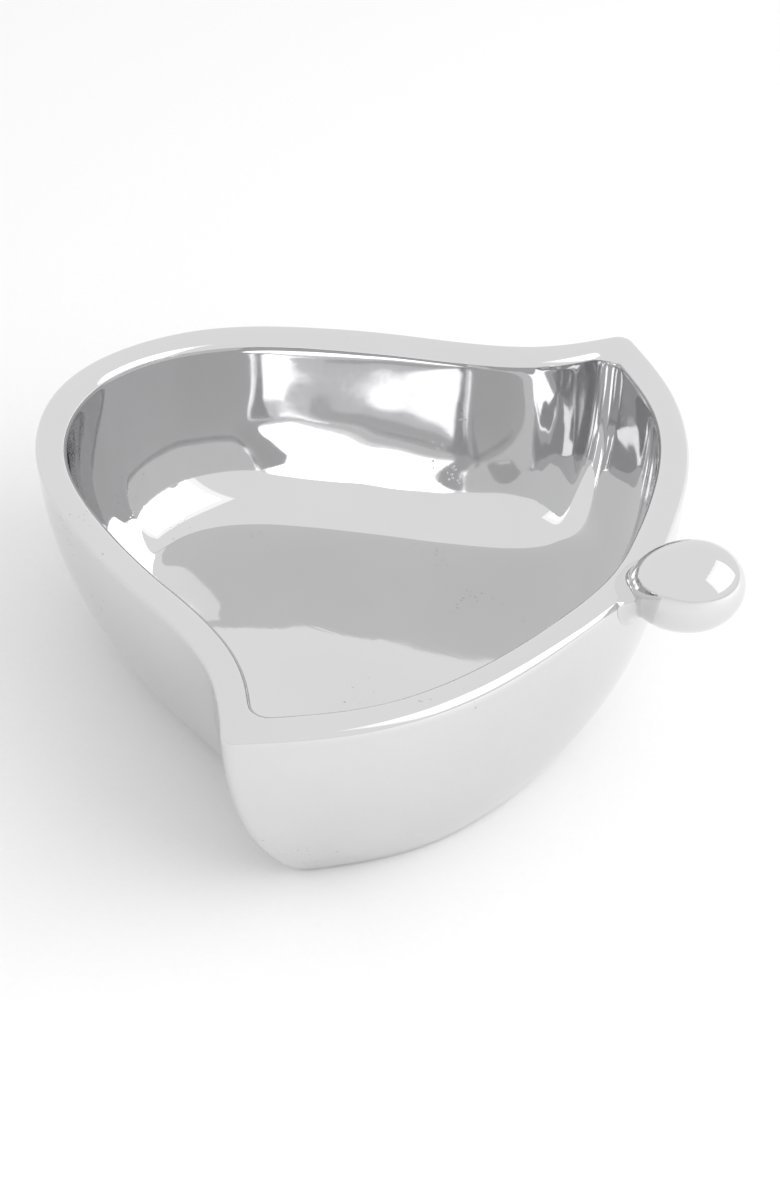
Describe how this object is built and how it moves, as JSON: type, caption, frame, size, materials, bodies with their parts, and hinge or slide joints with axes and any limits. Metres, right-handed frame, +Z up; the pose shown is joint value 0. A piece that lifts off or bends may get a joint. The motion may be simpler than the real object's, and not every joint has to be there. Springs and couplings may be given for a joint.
{
  "type": "sauce boat",
  "caption": "Low polished cast-metal sauce boat: heart-plan bowl with a thick flat rim, a pour lip on each side and a pebble-shaped knob handle.",
  "frame": {"origin": "on the table, under the middle of the boat's plan box", "axes": "+Z up, +X towards the knob handle, the pour lips at +Y and -Y, the round belly at -X"},
  "size_m": [0.1696, 0.1668, 0.0637],
  "materials": {
    "polished_casting": "mirror-polished silver-coloured casting with fine polishing marks and a few casting pits",
    "filler_metal": "filler metal dressed and polished to match the casting",
    "dowel_metal": "plain ground steel, hidden inside the joint"
  },
  "bodies": {
    "root": {"bowl": "polished_casting", "knob": "polished_casting", "root_bead": "filler_metal", "dowel": "dowel_metal"}
  },
  "joints": []
}
